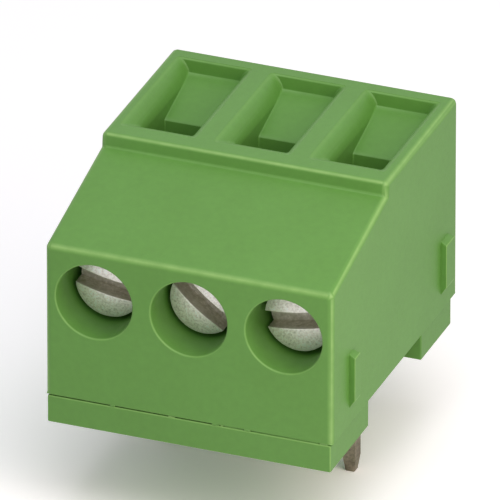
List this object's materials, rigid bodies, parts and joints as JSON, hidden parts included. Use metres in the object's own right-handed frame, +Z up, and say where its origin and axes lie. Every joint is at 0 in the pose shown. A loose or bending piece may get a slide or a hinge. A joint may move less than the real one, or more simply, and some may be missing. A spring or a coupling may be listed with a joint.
{
  "type": "pcb screw terminal",
  "caption": "Block-shaped screw terminal for a circuit board, with wire funnels on top, recessed screws in front and solder pins below.",
  "frame": {"origin": "middle of the row of solder pins, at the level of the board's top face", "axes": "+X along the row of poles, +Y from the screws towards the back, +Z up from the board"},
  "size_m": [0.0157, 0.0176, 0.0177],
  "materials": {
    "housing_green": "moulded polyamide with a fine satin grain",
    "base_green": "moulded polyamide with a fine satin grain",
    "screw_steel": "zinc-plated, slightly rough",
    "sleeve_steel": "zinc-plated and smooth",
    "tinned_bar": "tin-plated, dull"
  },
  "bodies": {
    "terminal": {"housing": "housing_green", "base_plate": "base_green", "contact_bar_1": "tinned_bar", "contact_bar_2": "tinned_bar", "contact_bar_3": "tinned_bar"},
    "screw_1": {"clamp_screw_1": "screw_steel"},
    "sleeve_1": {"tension_sleeve_1": "sleeve_steel"},
    "screw_2": {"clamp_screw_2": "screw_steel"},
    "sleeve_2": {"tension_sleeve_2": "sleeve_steel"},
    "screw_3": {"clamp_screw_3": "screw_steel"},
    "sleeve_3": {"tension_sleeve_3": "sleeve_steel"}
  },
  "joints": [
    {"name": "clamp_screw_1_turn", "type": "hinge", "parent": "terminal", "child": "screw_1", "pos_m": [-0.00508, -0.00755, 0.00722], "axis": [0, 1, 0], "range_deg": [0, 1800]},
    {"name": "tension_sleeve_1_slide", "type": "slide", "parent": "terminal", "child": "sleeve_1", "axis": [0, -1, 0], "range_m": [0, 0.00225]},
    {"name": "clamp_screw_2_turn", "type": "hinge", "parent": "terminal", "child": "screw_2", "pos_m": [0, -0.00755, 0.00722], "axis": [0, 1, 0], "range_deg": [0, 1800]},
    {"name": "tension_sleeve_2_slide", "type": "slide", "parent": "terminal", "child": "sleeve_2", "axis": [0, -1, 0], "range_m": [0, 0.00225]},
    {"name": "clamp_screw_3_turn", "type": "hinge", "parent": "terminal", "child": "screw_3", "pos_m": [0.00508, -0.00755, 0.00722], "axis": [0, 1, 0], "range_deg": [0, 1800]},
    {"name": "tension_sleeve_3_slide", "type": "slide", "parent": "terminal", "child": "sleeve_3", "axis": [0, -1, 0], "range_m": [0, 0.00225]}
  ],
  "couplings": [
    {"joint": "clamp_screw_1_turn", "follows": "tension_sleeve_1_slide", "rad_per_m": 13963},
    {"joint": "clamp_screw_2_turn", "follows": "tension_sleeve_2_slide", "rad_per_m": 13963},
    {"joint": "clamp_screw_3_turn", "follows": "tension_sleeve_3_slide", "rad_per_m": 13963}
  ]
}
